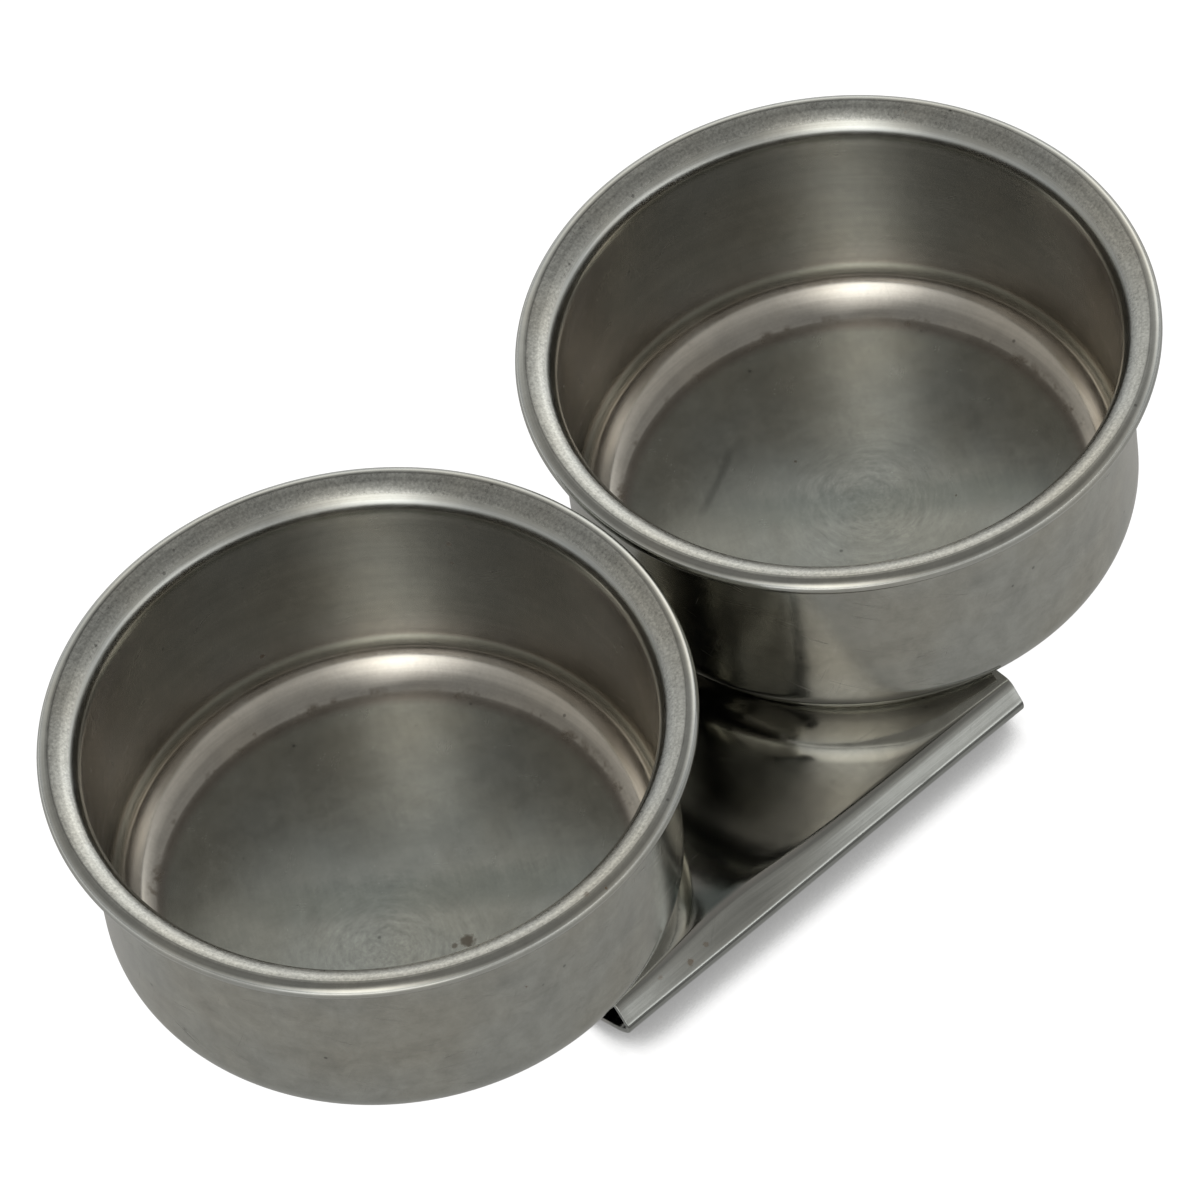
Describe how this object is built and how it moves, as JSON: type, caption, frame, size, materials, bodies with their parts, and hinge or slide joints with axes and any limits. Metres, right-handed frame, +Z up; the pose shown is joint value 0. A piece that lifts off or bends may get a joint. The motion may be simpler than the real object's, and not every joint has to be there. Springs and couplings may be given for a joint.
{
  "type": "double palette cup with clip",
  "caption": "Open sheet-steel paint cups with rolled rims, side by side on a folded spring clip that grips a palette's edge.",
  "frame": {"origin": "on the surface it stands on, under the midpoint between the cups", "axes": "+X from the left cup to the right cup, +Z up, the fold of the clip at -Y and its open mouth at +Y"},
  "size_m": [0.0902, 0.045, 0.0238],
  "materials": {
    "cup_steel": "dull polished sheet steel with fine turning marks and light wear",
    "clip_steel": "smooth rolled spring sheet with fine scratches",
    "solder": "dull grey soft solder"
  },
  "bodies": {
    "cups": {"left_cup": "cup_steel", "right_cup": "cup_steel", "left_solder": "solder", "right_solder": "solder", "clip_upper_leaf": "clip_steel"},
    "spring_leaf": {"clip_lower_leaf": "clip_steel"}
  },
  "joints": [
    {"name": "clip_opens", "type": "hinge", "parent": "cups", "child": "spring_leaf", "pos_m": [0, -0.0189, 0.0029], "axis": [-1, 0, 0], "range_deg": [0, 10], "stiffness_Nm_per_rad": 1}
  ]
}
